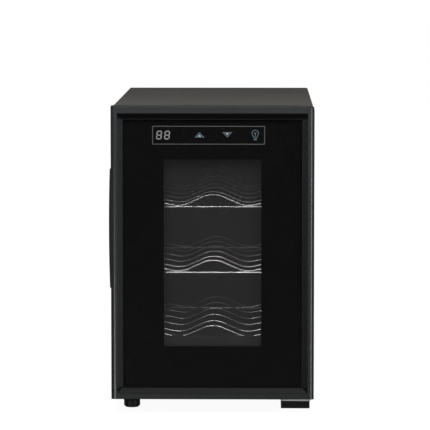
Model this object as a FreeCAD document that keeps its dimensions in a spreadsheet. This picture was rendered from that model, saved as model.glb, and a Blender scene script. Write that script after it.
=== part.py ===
import FreeCAD, Part
import math
import os
import re
import Sketcher
from FreeCAD import Placement, Rotation, Vector

# A countertop thermoelectric wine cooler with a glass door, in millimetres.
# X runs to the viewer's right, Y to the back and Z up; the origin is at the bottom centre.
# Depths, called back below, are measured from the door's front face towards the rear.

DIMENSIONS = {
    "overall_width": (252, "door, side to side"),
    "overall_depth": (505, "door front to rear cover"),
    "overall_height": (383, "floor to cabinet top"),
    "cabinet_width": (250, "steel wrap, side to side"),
    "cabinet_bottom": (18.3, "underside of the base pan"),
    "cabinet_back": (495, "rear edge of the wrap"),
    "cabinet_front": (46, "steel face that the gasket meets"),
    "steel": (1, "sheet thickness"),
    "wrap_corner": (2.5, "outer bend of the wrap"),
    "cavity_width": (184, "clear width inside the liner"),
    "cavity_floor": (82, "liner floor"),
    "cavity_ceiling": (350, "liner ceiling"),
    "cavity_back": (410, "liner rear wall, inside"),
    "sill_top": (92, "ridge at the front of the floor"),
    "sill_back": (52, "rear of that ridge"),
    "liner_wall": (2, "liner thickness"),
    "lip_side": (99, "half width of the liner's front lip"),
    "lip_low": (75, "lower edge of the lip"),
    "lip_high": (357, "upper edge of the lip"),
    "foam_back": (436, "rear face of the foam"),
    "foam_floor": (52, "underside of the foam"),
    "door_depth": (38, "door frame, front to back"),
    "door_low": (18.9, "underside of the door"),
    "door_skin": (2.5, "wall of the door frame"),
    "frame_side": (15, "visible frame at each side"),
    "frame_top": (16, "visible frame above the glass"),
    "frame_foot": (14.7, "visible frame below the glass"),
    "bevel_width": (6, "slope beside the glass, across"),
    "bevel_drop": (4.5, "slope beside the glass, in depth"),
    "rail_round": (1, "front edge of the door, along its top and bottom"),
    "stile_round": (6, "front edge of the door, along its sides"),
    "glass_front": (5.5, "outer glass behind the door's front"),
    "glass_thick": (4, "outer glass"),
    "glass_seat": (7, "glass hidden behind the frame"),
    "print_thick": (0.1, "black print on the glass"),
    "window_half": (60.4, "half width of the clear window"),
    "window_low": (84.3, "lower edge of the window"),
    "window_high": (317.2, "upper edge of the window"),
    "spacer_depth": (12, "gap between the two panes"),
    "inner_glass_thick": (3, "inner pane"),
    "pane_margin": (6.6, "inner pane beyond the window"),
    "liner_front": (35, "front face of the door liner"),
    "gasket_depth": (7.7, "gasket, front to back"),
    "gasket_outer": (104, "half width of the gasket"),
    "gasket_wide": (10, "width of the gasket's band"),
    "gasket_low": (70, "lower edge of the gasket"),
    "gasket_high": (361, "upper edge of the gasket"),
    "hinge_across": (113, "hinge axis from the mid-plane"),
    "hinge_back": (20, "hinge axis behind the door's front"),
    "hinge_top_floor": (379, "floor of the door's upper recess"),
    "ear_low": (380, "underside of the upper hinge ear"),
    "hinge_sheet": (2, "hinge steel"),
    "top_pin_radius": (2.5, "upper hinge pin"),
    "foot_pin_radius": (3, "lower hinge pin"),
    "running_gap": (0.05, "radial clearance of a turning fit"),
    "part_gap": (0.3, "space between pieces that pass"),
    "shelf_half": (84, "half width of a rack"),
    "shelf_front": (62, "first wire of a rack"),
    "bar_radius": (1.3, "straight rack wires"),
    "wave_radius": (1, "waved rack wires"),
    "wave_lift": (2.1, "waved wire above the bars"),
    "wave_peak": (16.2, "corner of a waved wire's crest before it is bent, above its ends"),
    "wave_dip": (1.6, "corner of its troughs before they are bent, below its ends"),
    "wave_bend": (32, "bend radius of a waved wire"),
    "trough_across": (41, "trough of a waved wire from the mid-plane"),
    "shelf_pitch": (83, "rack to rack"),
    "shelf_foot": (87.6, "lowest rack's bars"),
    "module_high": (250, "axis of fans and heat sinks"),
    "duct_front": (371, "front of the duct cover"),
    "grip_low": (157, "lower end of the grip"),
    "grip_high": (305.6, "upper end of the grip"),
    "grip_proud": (2.6, "grip beyond the door's side, middle"),
    "grip_end_proud": (1.4, "the same at its ends"),
    "foot_across": (102.8, "feet from the mid-plane"),
    "foot_front": (63, "front foot's axis"),
    "foot_rear": (450, "rear feet's axis"),
    "foot_radius": (12, "collar of a foot"),
    "foot_pad_radius": (10.2, "lower part of a foot"),
}

SHELF_NAMES = ["shelf_bottom", "shelf_middle", "shelf_top"]
WAVE_DEPTHS = [0, 48, 112, 176, 240, 304]
TURNS = {"x": Rotation(Vector(0, 1, 0), 90), "y": Rotation(Vector(1, 0, 0), -90), "z": Rotation()}

doc = FreeCAD.newDocument("wine_cooler")
sheet = doc.addObject("Spreadsheet::Sheet", "dim")
finished = []


# ---------------------------------------------------------------- sheet and expressions

def fill_sheet():
    """One row per driving dimension: its meaning, and its value under an alias."""
    for row, (alias, (value, meaning)) in enumerate(DIMENSIONS.items(), start=1):
        sheet.set(f"A{row}", meaning)
        sheet.set(f"B{row}", str(value))
        sheet.setAlias(f"B{row}", alias)
    doc.recompute()


def bind(text):
    """An expression on the sheet's aliases, written here by their bare names."""
    return re.sub(r"[a-z][a-z_]+", lambda word: "dim." + word.group(), str(text))


def value(text):
    """The number that such an expression gives now."""
    return float(sheet.evalExpression(bind(f"({text}) * 1.0")))


def depth(back):
    """The Y of a depth behind the door's front face."""
    return f"({back}) - overall_depth / 2"


def span(low, high):
    """The length from a lower to a higher value."""
    return f"({high}) - ({low})"


def keep(piece, name):
    """Name a finished sub-part and put it on the list to write."""
    piece.Label = name
    finished.append(piece)
    return piece


# ---------------------------------------------------------------- primitives and booleans

def box(across, back, up, name="block"):
    """A block between two values of X, of depth and of Z."""
    block = doc.addObject("Part::Box", name)
    spans = (("Length", "x", across), ("Width", "y", back), ("Height", "z", up))
    for side, axis, (low, high) in spans:
        block.setExpression(side, bind(span(low, high)))
        start = depth(low) if axis == "y" else low
        block.setExpression(f"Placement.Base.{axis}", bind(start))
    return block


def place(piece, centre):
    """Bind a piece's position to X, depth and Z."""
    for axis, text in zip("xyz", (centre[0], depth(centre[1]), centre[2])):
        piece.setExpression(f"Placement.Base.{axis}", bind(text))
    return piece


def rod(axis, radius, start, length, name="rod"):
    """A cylinder that grows from start along +X, +Y or +Z."""
    bar = doc.addObject("Part::Cylinder", name)
    bar.Placement = Placement(Vector(), TURNS[axis])
    bar.setExpression("Radius", bind(radius))
    bar.setExpression("Height", bind(length))
    return place(bar, start)


def cone(axis, radius_start, radius_end, start, length):
    """A cone frustum that grows from start along +X, +Y or +Z."""
    taper = doc.addObject("Part::Cone", "taper")
    taper.Placement = Placement(Vector(), TURNS[axis])
    taper.setExpression("Radius1", bind(radius_start))
    taper.setExpression("Radius2", bind(radius_end))
    taper.setExpression("Height", bind(length))
    return place(taper, start)


def fuse(pieces, name="joined"):
    """All pieces as one shape."""
    if len(pieces) == 1:
        return pieces[0]
    joined = doc.addObject("Part::MultiFuse", name)
    joined.Shapes = pieces
    joined.Refine = True
    return joined


def cut(base, tools, name="cut"):
    """The base without the tools."""
    result = doc.addObject("Part::Cut", name)
    result.Base = base
    result.Tool = fuse(tools, name + "_tools")
    result.Refine = True
    return result


def ring(outer, inner, back, name="ring"):
    """A rectangular frame; outer and inner are (low X, high X, low Z, high Z)."""
    solid = box(outer[:2], back, outer[2:], name + "_outer")
    hole = box(inner[:2], (f"{back[0]} - 1", f"{back[1]} + 1"), inner[2:], name + "_inner")
    return cut(solid, [hole], name)


def even(half, low, high):
    """The rectangle from -half to half and from low to high."""
    return (f"-({half})", half, low, high)


# ---------------------------------------------------------------- bodies, sketches and features

def body(name):
    """A new body, kept under its name."""
    return keep(doc.addObject("PartDesign::Body", name), name)


def origin(part, role):
    """One of the body's own planes or axes."""
    return next(item for item in part.Origin.OriginFeatures if item.Role == role)


def sketch(part, role, offset):
    """A sketch on one of the body's planes, moved along the plane's normal."""
    drawing = part.newObject("Sketcher::SketchObject", part.Name + "_sketch")
    drawing.AttachmentSupport = [(origin(part, role), "")]
    drawing.MapMode = "FlatFace"
    drawing.setExpression("AttachmentOffset.Base.z", bind(offset))
    return drawing


def across_sketch(part, back):
    """A sketch in X and Z at a depth behind the door's front; its pads grow to the rear."""
    return sketch(part, "XZ_Plane", f"overall_depth / 2 - ({back})")


def pin_point(drawing, geometry, corner, where):
    """Tie one end of a line, or a circle's centre, to expressions."""
    for kind, text in zip(("DistanceX", "DistanceY"), where):
        row = drawing.addConstraint(Sketcher.Constraint(kind, -1, 1, geometry, corner, value(text)))
        drawing.setExpression(f"Constraints[{row}]", bind(text))


def outline(drawing, points):
    """A closed polygon with every corner tied to its expressions."""
    corners = [Vector(value(u), value(v), 0) for u, v in points]
    first = drawing.GeometryCount
    count = len(points)
    for index in range(count):
        drawing.addGeometry(Part.LineSegment(corners[index], corners[(index + 1) % count]), False)
    for index in range(count):
        following = first + (index + 1) % count
        drawing.addConstraint(Sketcher.Constraint("Coincident", first + index, 2, following, 1))
        pin_point(drawing, first + index, 1, points[index])


def rectangle(drawing, across, up):
    """A closed rectangle between two values of each sketch axis."""
    outline(drawing, [(across[0], up[0]), (across[1], up[0]), (across[1], up[1]), (across[0], up[1])])


def circle(drawing, centre, radius):
    """A circle with its centre and radius tied to expressions."""
    middle = Vector(value(centre[0]), value(centre[1]), 0)
    index = drawing.addGeometry(Part.Circle(middle, Vector(0, 0, 1), value(radius)), False)
    pin_point(drawing, index, 3, centre)
    row = drawing.addConstraint(Sketcher.Constraint("Radius", index, value(radius)))
    drawing.setExpression(f"Constraints[{row}]", bind(radius))


def pad(part, drawing, length, to_rear=False):
    """Grow material from a sketch; to_rear turns an X-Z sketch's pad towards +Y."""
    grown = part.newObject("PartDesign::Pad", part.Name + "_pad")
    grown.Profile = drawing
    grown.setExpression("Length", bind(length))
    grown.Reversed = to_rear
    return grown


def pocket(part, drawing, length, backwards=False):
    """Remove material under a sketch, and make sure that something was removed."""
    doc.recompute()
    before = part.Shape.Volume
    hollow = part.newObject("PartDesign::Pocket", part.Name + "_pocket")
    hollow.Profile = drawing
    hollow.setExpression("Length", bind(length))
    hollow.Reversed = backwards
    doc.recompute()
    if part.Shape.Volume >= before:
        raise RuntimeError(f"a pocket in {part.Label} cuts nothing")
    return hollow


def row_of(part, feature, axis, length, count):
    """Repeat a feature along an origin axis over a length."""
    pattern = part.newObject("PartDesign::LinearPattern", part.Name + "_row")
    pattern.Originals = [feature]
    pattern.Direction = (origin(part, axis), [""])
    pattern.setExpression("Length", bind(length))
    pattern.Occurrences = count
    part.Tip = pattern
    return pattern


def edges(feature, wanted):
    """The names of a feature's edges that a test picks by their bounding box."""
    doc.recompute()
    return [f"Edge{index}" for index, edge in enumerate(feature.Shape.Edges, start=1)
            if wanted(edge.BoundBox)]


def soften(part, feature, kind, wanted, **sizes):
    """A fillet or chamfer on the edges that a test picks."""
    names = edges(feature, wanted)
    softened = part.newObject(f"PartDesign::{kind}", f"{part.Name}_{kind.lower()}")
    softened.Base = (feature, names)
    if len(sizes) > 1:
        softened.ChamferType = "Two distances"
    for key, text in sizes.items():
        softened.setExpression(key, bind(text))
    doc.recompute()
    return softened


def near(first, second):
    """Whether two lengths are the same."""
    return abs(first - second) < 1e-4


# ---------------------------------------------------------------- fasteners

def screw(place_at, facing, head, head_high, shank, shank_long):
    """A pan head screw with a cross recess; facing is the way its head looks, such as -y."""
    sign, axis = facing[0], facing[1]
    along = {"x": 0, "y": 1, "z": 2}[axis]

    def shifted(amount):
        spot = list(place_at)
        spot[along] = f"{spot[along]} + ({amount})"
        return tuple(spot)

    inward = f"-({shank_long})" if sign == "+" else "0"
    outward = "0" if sign == "+" else f"-({head_high})"
    recess_start = f"({head_high}) * 0.4" if sign == "+" else f"-({head_high})"
    solid = fuse([rod(axis, head, shifted(outward), head_high),
                  rod(axis, shank, shifted(inward), shank_long)])
    recesses = [cross_bar(shifted(recess_start), axis, head, head_high, turned) for turned in (0, 1)]
    return cut(solid, recesses)


def cross_bar(start, axis, head, head_high, turned):
    """One bar of a cross recess, lying across the screw's axis."""
    spans = []
    for index, name in enumerate("xyz"):
        if name == axis:
            spans.append((start[index], f"{start[index]} + ({head_high}) * 0.6"))
        else:
            half = f"({head}) * 0.62" if turned else f"({head}) * 0.13"
            turned = not turned
            spans.append((f"{start[index]} - {half}", f"{start[index]} + {half}"))
    return box(*spans)


def screws(name, places, facing, head, head_high, shank, shank_long):
    """Identical screws as one sub-part."""
    pieces = [screw(spot, facing, head, head_high, shank, shank_long) for spot in places]
    group = doc.addObject("Part::Compound", name)
    group.Links = pieces
    return keep(group, name)


# ---------------------------------------------------------------- cabinet

SIDE = "cabinet_width / 2"
INSIDE = "cabinet_width / 2 - steel"
TOP_INSIDE = "overall_height - steel"
CAVITY = "cavity_width / 2"


def arch(outer, top, inner, ceiling):
    """An upside-down U that stands on the cabinet's bottom line."""
    foot = "cabinet_bottom"
    return [(f"-({outer})", foot), (f"-({outer})", top), (outer, top), (outer, foot),
            (inner, foot), (inner, ceiling), (f"-({inner})", ceiling), (f"-({inner})", foot)]


def cabinet_wrap():
    """Folded steel sides and top, with the front face that the gasket closes on."""
    part = body("cabinet_wrap")
    walls = across_sketch(part, "cabinet_front")
    outline(walls, arch(SIDE, "overall_height", INSIDE, TOP_INSIDE))
    pad(part, walls, "cabinet_back - cabinet_front", to_rear=True)
    face = across_sketch(part, "cabinet_front")
    outline(face, arch(SIDE, "overall_height", "lip_side", "lip_high"))
    faced = pad(part, face, "steel", to_rear=True)
    half, top = value(SIDE), value("overall_height")
    soften(part, faced, "Fillet",
           lambda b: b.YLength > 100 and near(abs(b.Center.x), half) and near(b.Center.z, top),
           Radius="wrap_corner")
    holes = across_sketch(part, "cabinet_front - 1")
    for height in HINGE_SCREW_HEIGHTS:
        circle(holes, (HINGE_SCREW_ACROSS, height), "1.5")
    pocket(part, holes, "steel + 1.5")


def base_pan():
    """Folded tray that closes the cabinet below and in front of the foam."""
    floor = box((f"-({INSIDE})", INSIDE), ("cabinet_front + steel", "cabinet_back - 1"),
                ("cabinet_bottom", "cabinet_bottom + steel"))
    front = box(("-lip_side", "lip_side"), ("cabinet_front", "cabinet_front + steel"),
                ("cabinet_bottom", "lip_low"))
    sides = [box((low, high), ("cabinet_front + steel", "cabinet_back - 1"),
                 ("cabinet_bottom", "cabinet_bottom + 14"))
             for low, high in ((f"-({INSIDE})", f"-({INSIDE}) + steel"), (f"{INSIDE} - steel", INSIDE))]
    rear = box((f"-({INSIDE})", INSIDE), ("cabinet_back - 2", "cabinet_back - 1"),
               ("cabinet_bottom", "cabinet_bottom + 14"))
    holes = [rod("z", "foot_pin_radius + running_gap", ("-foot_across", "foot_front", "cabinet_bottom - 1"), "4")]
    holes += [rod("z", "1.9", (across, back, "cabinet_bottom - 1"), "4") for across, back in PLATE_SCREWS]
    holes += [rod("z", "1.9", (across, "foot_rear", "cabinet_bottom - 1"), "4")
              for across in ("-foot_across", "foot_across")]
    vents = [box((f"{across} - 3", f"{across} + 3"), ("250", "400"), ("cabinet_bottom - 1", "cabinet_bottom + 3"))
             for across in range(-70, 71, 20)]
    keep(cut(fuse([floor, front, rear] + sides), holes + vents, "base_pan"), "base_pan")


def back_panel():
    """Steel sheet behind the foam, open for the cooling module."""
    sheet_box = box((f"-({INSIDE})", INSIDE), ("foam_back", "foam_back + steel"),
                    ("cabinet_bottom + steel", TOP_INSIDE))
    corners = [box((low, high), ("foam_back - 1", "foam_back + 3"), ("cabinet_bottom", "cabinet_bottom + 14"))
               for low, high in ((f"-({INSIDE}) - 1", f"-({INSIDE}) + steel"), (f"{INSIDE} - steel", f"{INSIDE} + 1"))]
    opening = box(("-26", "26"), ("foam_back - 1", "foam_back + 3"), ("module_high - 26", "module_high + 26"))
    clamps = [rod("y", "2.4", (across, "foam_back - 1", "module_high"), "4") for across in ("-36", "36")]
    posts = [rod("y", "1.5", (x, "foam_back - 1", z), "4") for x, z in BOARD_CORNERS]
    keep(cut(sheet_box, corners + [opening] + clamps + posts, "back_panel"), "back_panel")


def insulation_foam():
    """Foam between the liner and the steel, with the cold block's passage."""
    block = box((f"-({INSIDE})", INSIDE), ("cabinet_front + liner_wall", "foam_back"),
                ("foam_floor", TOP_INSIDE))
    hollow = box((f"-({CAVITY}) - liner_wall", f"{CAVITY} + liner_wall"),
                 ("cabinet_front", "cavity_back + liner_wall"),
                 ("cavity_floor - liner_wall", "cavity_ceiling + liner_wall"))
    passage = box(("-25", "25"), ("cavity_back", "foam_back + 1"), ("module_high - 25", "module_high + 25"))
    clamps = [rod("y", "2.1", (across, "cavity_back", "module_high"), "30") for across in ("-36", "36")]
    keep(cut(block, [hollow, passage] + clamps, "insulation_foam"), "insulation_foam")


def inner_liner():
    """Moulded cavity with a front lip, a sill and a pair of ledges for each rack."""
    shell = box((f"-({CAVITY}) - liner_wall", f"{CAVITY} + liner_wall"),
                ("cabinet_front", "cavity_back + liner_wall"),
                ("cavity_floor - liner_wall", "cavity_ceiling + liner_wall"))
    lip = box(("-lip_side", "lip_side"), ("cabinet_front", "cabinet_front + liner_wall"),
              ("lip_low", "lip_high"))
    mouth = box((f"-({CAVITY})", CAVITY), ("cabinet_front - 1", "cavity_back"), ("sill_top", "cavity_ceiling"))
    well = box((f"-({CAVITY})", CAVITY), ("sill_back", "cavity_back"), ("cavity_floor", "sill_top + 1"))
    window = box(("-20", "20"), ("cavity_back - 1", "cavity_back + 9"), ("module_high - 20", "module_high + 20"))
    clamps = [rod("y", "2.1", (across, "cavity_back - 1", "module_high"), "9") for across in ("-36", "36")]
    lamp_hole = box(("-15", "15"), ("96", "104"), ("cavity_ceiling - 1", "cavity_ceiling + liner_wall + 1"))
    shell = cut(fuse([shell, lip]), [mouth, well, window, lamp_hole] + clamps)
    keep(fuse([shell] + ledges(), "inner_liner"), "inner_liner")


def ledges():
    """A ledge at each side under every rack; the lowest pair stands on the floor."""
    pieces = []
    for level in range(len(SHELF_NAMES)):
        top = f"shelf_foot + shelf_pitch * {level} - bar_radius - part_gap"
        low = "cavity_floor - 1" if level == 0 else f"{top} - 4"
        for start, end in ((f"-({CAVITY}) - 1", f"-({CAVITY}) + 12"), (f"{CAVITY} - 12", f"{CAVITY} + 1")):
            pieces.append(box((start, end), ("sill_back + 2", "cavity_back"), (low, top)))
    return pieces


def lamp():
    """Interior lamp: a milky lens in the ceiling with its board above."""
    lens = box(("-14.9", "14.9"), ("96.1", "103.9"), ("cavity_ceiling - 2.5", "cavity_ceiling + 1"))
    hollow = box(("-13.5", "13.5"), ("97.5", "102.5"), ("cavity_ceiling - 1", "cavity_ceiling + 1.5"))
    keep(cut(lens, [hollow], "lamp_lens"), "lamp_lens")
    board = box(("-13.4", "13.4"), ("97.6", "102.4"), ("cavity_ceiling + 0.2", "cavity_ceiling + 1.2"))
    lights = [box((f"{x} - 1.4", f"{x} + 1.4"), ("98.6", "101.4"), ("cavity_ceiling - 0.6", "cavity_ceiling + 0.3"))
              for x in (-8, 0, 8)]
    keep(fuse([board] + lights, "lamp_board"), "lamp_board")


# ---------------------------------------------------------------- cooling module

def fan(name, half, thick, bore, hub, blade_reach, front, blades):
    """An axial fan: square frame with a motor post, and a rotor that turns on it."""
    frame = box((f"-{half}", half), (front, f"{front} + {thick}"), (f"module_high - {half}", f"module_high + {half}"))
    tunnel = rod("y", bore, ("0", f"{front} - 1", "module_high"), f"{thick} + 2")
    corner = f"{half} - 5"
    spots = [(f"{sx} * ({corner})", f"module_high + {sz} * ({corner})") for sx in (-1, 1) for sz in (-1, 1)]
    holes = [rod("y", "2.2", (x, f"{front} - 1", z), f"{thick} + 2") for x, z in spots]
    shell = cut(frame, [tunnel] + holes)
    rear = f"{front} + {thick}"
    hub_disc = rod("y", hub, ("0", f"{rear} - 4", "module_high"), "4")
    post = rod("y", "1.5", ("0", f"{front} + 2", "module_high"), f"{thick} - 3")
    struts = [box((f"-{half} + 1", f"{half} - 1"), (f"{rear} - 3", rear), ("module_high - 2", "module_high + 2")),
              box(("-2", "2"), (f"{rear} - 3", rear), (f"module_high - {half} + 1", f"module_high + {half} - 1"))]
    keep(fuse([shell, hub_disc, post] + struts, f"{name}_frame"), f"{name}_frame")
    rotor(f"{name}_rotor", hub, blade_reach, f"{thick} - 6", f"{front} + 1", blades)
    return spots


def rotor(name, hub, reach, deep, front, blades):
    """Hub with pitched blades; it is drawn about its own axis and then put in place."""
    part = body(name)
    disc = sketch(part, "XZ_Plane", "0")
    circle(disc, ("0", "0"), hub)
    pad(part, disc, deep, to_rear=True)
    bore = sketch(part, "XZ_Plane", "1")
    circle(bore, ("0", "0"), "1.5 + running_gap")
    pocket(part, bore, f"{deep} + 2")
    profile = sketch(part, "YZ_Plane", f"{hub} - 1")
    lean = f"({deep}) * 0.45"
    outline(profile, [("0.4", f"-{lean} - 1"), ("0.4", f"-{lean} + 1"),
                      (f"{deep} - 0.4", f"{lean} + 1"), (f"{deep} - 0.4", f"{lean} - 1")])
    blade = pad(part, profile, f"{reach} - {hub} + 1")
    doc.recompute()
    fanned = part.newObject("PartDesign::PolarPattern", name + "_fan")
    fanned.Originals = [blade]
    fanned.Axis = (origin(part, "Y_Axis"), [""])
    fanned.Angle = 360
    fanned.Occurrences = blades
    part.Tip = fanned
    place(part, ("0", front, "module_high"))


def heat_sink(name, half, base, fins, fin_count, clearances):
    """Aluminium base with upright fins; base and fins are (front, back) depths."""
    part = body(name)
    plate = across_sketch(part, base[0])
    rectangle(plate, (f"-{half}", half), (f"module_high - {half}", f"module_high + {half}"))
    pad(part, plate, span(*base), to_rear=True)
    fin = across_sketch(part, fins[0])
    rectangle(fin, (f"-{half}", f"-{half} + 1.2"), (f"module_high - {half}", f"module_high + {half}"))
    blade = pad(part, fin, span(*fins), to_rear=True)
    doc.recompute()
    row_of(part, blade, "X_Axis", f"2 * {half} - 1.2", fin_count)
    doc.recompute()
    for radius, spots, start, length in clearances:
        holes = across_sketch(part, start)
        for spot in spots:
            circle(holes, spot, radius)
        pocket(part, holes, length)


def cooling_module():
    """Cold sink and fan in the cavity, Peltier and block in the wall, hot sink and fan behind."""
    clamp_spots = [("-36", "module_high"), ("36", "module_high")]
    heat_sink("cold_heat_sink", "40", ("cavity_back - 5", "cavity_back"), ("cavity_back - 19", "cavity_back - 5"),
              14, [("4.5", clamp_spots, "cavity_back - 20", "15"), ("2.1", clamp_spots, "cavity_back - 6", "8")])
    cold_spots = fan("cold_fan", "40", "15", "37.5", "14", "36", "duct_front + 3", 7)
    block = box(("-20", "20"), ("cavity_back", "foam_back - 2"), ("module_high - 20", "module_high + 20"))
    keep(block, "cold_block")
    module = box(("-20", "20"), ("foam_back - 2", "foam_back + 2"), ("module_high - 20", "module_high + 20"))
    keep(module, "peltier_module")
    collar = ring(even("25", "module_high - 25", "module_high + 25"),
                  even("20", "module_high - 20", "module_high + 20"),
                  ("cavity_back + liner_wall", "foam_back"), "cold_block_collar")
    keep(collar, "cold_block_collar")
    hot_corner = "41"
    hot_spots = [(f"{sx} * {hot_corner}", f"module_high + {sz} * {hot_corner}") for sx in (-1, 1) for sz in (-1, 1)]
    heat_sink("hot_heat_sink", "50", ("foam_back + 2", "foam_back + 8"), ("foam_back + 8", "foam_back + 32"),
              21, [("3", hot_spots, "foam_back + 8", "25"), ("1.5", hot_spots, "foam_back + 3", "6")])
    fan("hot_fan", "46", "25", "43.5", "17", "42", "foam_back + 32.5", 7)
    screws("hot_fan_screws", [(x, "foam_back + 57.5", z) for x, z in hot_spots], "+y", "3.4", "2", "1.5", "53.5")
    screws("cold_fan_screws", [(x, "duct_front + 18", z) for x, z in cold_spots], "+y", "2.8", "1.5", "1.4", "15.8")
    screws("clamp_screws", [(x, "cavity_back - 5", z) for x, z in clamp_spots], "-y", "3.6", "2.4", "1.9", "29")


def duct_cover():
    """Moulded cover over the cold sink: round fan grille in the middle, air slots below and above."""
    half = "70"
    shell = box((f"-{half}", half), ("duct_front", "cavity_back"), ("160", "340"))
    hollow = box((f"-{half} + 2", f"{half} - 2"), ("duct_front + 2", "cavity_back + 1"), ("162", "338"))
    slots = [box((f"{x} - 2.5", f"{x} + 2.5"), ("duct_front - 1", "duct_front + 3"), (low, high))
             for x in range(-55, 56, 10) for low, high in (("168", "196"), ("304", "332"))]
    rounds = [cut(rod("y", str(outer), ("0", "duct_front - 1", "module_high"), "4"),
                  [rod("y", str(outer - 5), ("0", "duct_front - 2", "module_high"), "6")])
              for outer in (14, 21, 28, 35)]
    pilots = [rod("y", "1.4", (f"{sx} * 35", "duct_front + 0.8", f"module_high + {sz} * 35"), "3")
              for sx in (-1, 1) for sz in (-1, 1)]
    shell = cut(shell, [hollow] + slots + rounds + pilots)
    spokes = [box(("-36", "36"), ("duct_front", "duct_front + 2"), ("module_high - 1.5", "module_high + 1.5")),
              box(("-1.5", "1.5"), ("duct_front", "duct_front + 2"), ("module_high - 36", "module_high + 36"))]
    keep(fuse([shell] + spokes, "duct_cover"), "duct_cover")
    sensor = fuse([rod("z", "2", ("55", "duct_front - 2.4", "275"), "16"),
                   box(("52.5", "57.5"), ("duct_front - 2.4", "duct_front"), ("279", "287"))])
    keep(sensor, "temperature_sensor")


# ---------------------------------------------------------------- rear cover and electrics

BOARD_CORNERS = [(x, z) for x in ("-105", "15") for z in ("70", "140")]
COVER_SCREWS = [(x, z) for x in ("-117", "117") for z in ("34", "200", "368")]


def rear_cover():
    """Moulded cover that closes the rear, dished outwards and slotted for the fan's air."""
    part = body("rear_cover")
    plate = across_sketch(part, "cabinet_back")
    rectangle(plate, (f"-({SIDE}) + 0.5", f"{SIDE} - 0.5"), ("cabinet_bottom + 1", "overall_height - 1"))
    pad(part, plate, "2", to_rear=True)
    dish = across_sketch(part, "cabinet_back + 2")
    rectangle(dish, ("-100", "100"), ("70", "350"))
    raised = pad(part, dish, "overall_depth - cabinet_back - 2", to_rear=True)
    soften(part, raised, "Chamfer",
           lambda b: near(b.YMin, value("overall_depth / 2")) and near(b.YLength, 0), Size="3", Size2="3")
    hollow = across_sketch(part, "cabinet_back - 1")
    rectangle(hollow, ("-96", "96"), ("74", "346"))
    pocket(part, hollow, "overall_depth - cabinet_back - 1")
    for start, count in (("80", 6), ("206", 13)):
        slot_row(part, start, count)
    holes = across_sketch(part, "cabinet_back - 1")
    for spot in COVER_SCREWS:
        circle(holes, spot, "1.6")
    pocket(part, holes, "4")
    inlet = across_sketch(part, "cabinet_back - 1")
    rectangle(inlet, ("56", "84"), ("34", "56"))
    pocket(part, inlet, "4")


def slot_row(part, low, count):
    """Air slots, one above the other, from a lowest height up."""
    slot = across_sketch(part, "overall_depth - 4")
    rectangle(slot, ("-70", "70"), (low, f"{low} + 4"))
    first = pocket(part, slot, "6")
    row_of(part, first, "Z_Axis", f"7.5 * {count - 1}", count)
    doc.recompute()


def power_supply():
    """Board on standoffs in the warm space behind the back panel, with its large components."""
    front = "foam_back + 9"
    board = box(("-110", "20"), (front, f"{front} + 1.6"), ("65", "145"))
    holes = [rod("y", "1.5", (x, f"{front} - 1", z), "4") for x, z in BOARD_CORNERS]
    keep(cut(board, holes, "power_supply_board"), "power_supply_board")
    posts = [fuse([rod("y", "3", (x, "foam_back + steel", z), "8"), rod("y", "1.5", (x, "foam_back", z), "11")])
             for x, z in BOARD_CORNERS]
    group = doc.addObject("Part::Compound", "board_standoffs")
    group.Links = posts
    keep(group, "board_standoffs")
    face = f"{front} + 1.6"
    core = box(("-42", "-10"), (face, f"{face} + 24"), ("88", "122"))
    winding = box(("-38", "-14"), (face, f"{face} + 28"), ("92", "118"))
    keep(fuse([core, winding], "power_transformer"), "power_transformer")
    cans = [rod("y", radius, (x, face, z), length)
            for radius, x, z, length in (("9", "-62", "104", "30"), ("5", "2", "92", "20"), ("5", "2", "112", "20"))]
    group = doc.addObject("Part::Compound", "board_capacitors")
    group.Links = cans
    keep(group, "board_capacitors")
    spine = box(("-94", "-78"), (face, f"{face} + 3"), ("80", "130"))
    fins = [box((f"{x}", f"{x} + 1.6"), (face, f"{face} + 22"), ("80", "130")) for x in (-94, -89, -84, -79.6)]
    keep(fuse([spine] + fins, "board_heat_sink"), "board_heat_sink")


def power_inlet():
    """Three-pin appliance inlet set into the rear cover; the cord plugs in here."""
    middle = "45"
    shell = box(("56.1", "83.9"), ("cabinet_back - 18", "cabinet_back + 2"), ("34.1", "55.9"))
    flange = box(("50", "90"), ("cabinet_back + 2", "cabinet_back + 4.5"), ("31", "59"))
    socket = box(("58", "82"), ("cabinet_back - 14", "cabinet_back + 6"), (f"{middle} - 8", f"{middle} + 8"))
    keep(cut(fuse([shell, flange]), [socket], "power_inlet"), "power_inlet")
    pins = [box((f"{x} - 1", f"{x} + 1"), ("cabinet_back - 14", "cabinet_back - 1"), (f"{z} - 2", f"{z} + 2"))
            for x, z in ((63, 43), (70, 48), (77, 43))]
    group = doc.addObject("Part::Compound", "inlet_pins")
    group.Links = pins
    keep(group, "inlet_pins")


# ---------------------------------------------------------------- feet and hinges

HINGE_SCREW_ACROSS = "113.7"
HINGE_SCREW_HEIGHTS = ("358", "370")
PLATE_SCREWS = [("94", "62"), ("113", "62"), ("103.5", "78")]


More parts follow.
